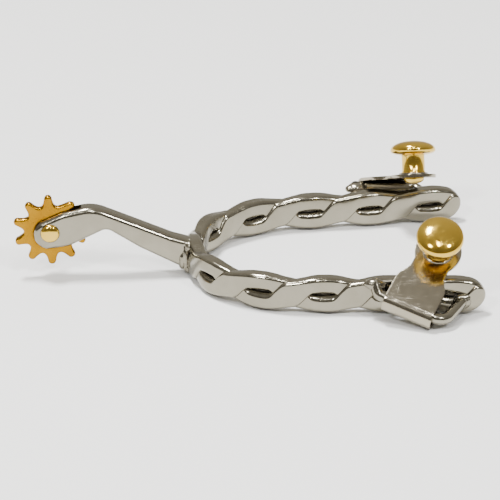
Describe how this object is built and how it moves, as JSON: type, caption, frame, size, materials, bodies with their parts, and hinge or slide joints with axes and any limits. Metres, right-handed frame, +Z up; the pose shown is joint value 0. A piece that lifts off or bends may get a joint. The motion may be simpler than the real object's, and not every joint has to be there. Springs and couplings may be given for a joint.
{
  "type": "western riding spur",
  "caption": "Western riding spur: twisted U-shaped heel band, bent shank with a star rowel on a pin, and strap buttons on swinging hangers at the arm ends.",
  "frame": {"origin": "bottom centre of the spur's box, standing on its heel band", "axes": "+X out of the band's mouth towards the wearer's toe, -X along the shank to the rowel, +Y the wearer's left, +Z up"},
  "size_m": [0.1626, 0.1106, 0.0351],
  "materials": {
    "polished_steel": "mirror polished stainless steel, finely scratched",
    "sheet_steel": "polished stainless sheet",
    "weld_metal": "polished weld bead, slightly lumpy",
    "brass": "polished solid brass"
  },
  "bodies": {
    "spur": {"band_strand_a": "polished_steel", "band_strand_b": "polished_steel", "shank": "polished_steel", "heel_weld": "weld_metal", "rowel_pin": "brass", "left_staple": "polished_steel", "left_staple_welds": "weld_metal", "right_staple": "polished_steel", "right_staple_welds": "weld_metal"},
    "rowel": {"rowel": "brass"},
    "left_strap_hanger": {"left_hanger": "sheet_steel", "left_button": "brass", "left_button_washer": "sheet_steel", "left_button_rivet": "brass"},
    "right_strap_hanger": {"right_hanger": "sheet_steel", "right_button": "brass", "right_button_washer": "sheet_steel", "right_button_rivet": "brass"}
  },
  "joints": [
    {"name": "rowel_spin", "type": "hinge", "parent": "spur", "child": "rowel", "pos_m": [-0.06854, 0, 0.01836], "axis": [0, 1, 0], "continuous": true},
    {"name": "right_hanger_swing", "type": "hinge", "parent": "spur", "child": "right_strap_hanger", "pos_m": [0.05436, -0.0485, 0.00686], "axis": [0.8796, -0.3958, -0.2639], "range_deg": [0, 235]},
    {"name": "left_hanger_swing", "type": "hinge", "parent": "spur", "child": "left_strap_hanger", "pos_m": [0.05356, 0.04862, 0.01046], "axis": [-0.9147, -0.3659, 0.1715], "range_deg": [0, 235]}
  ]
}
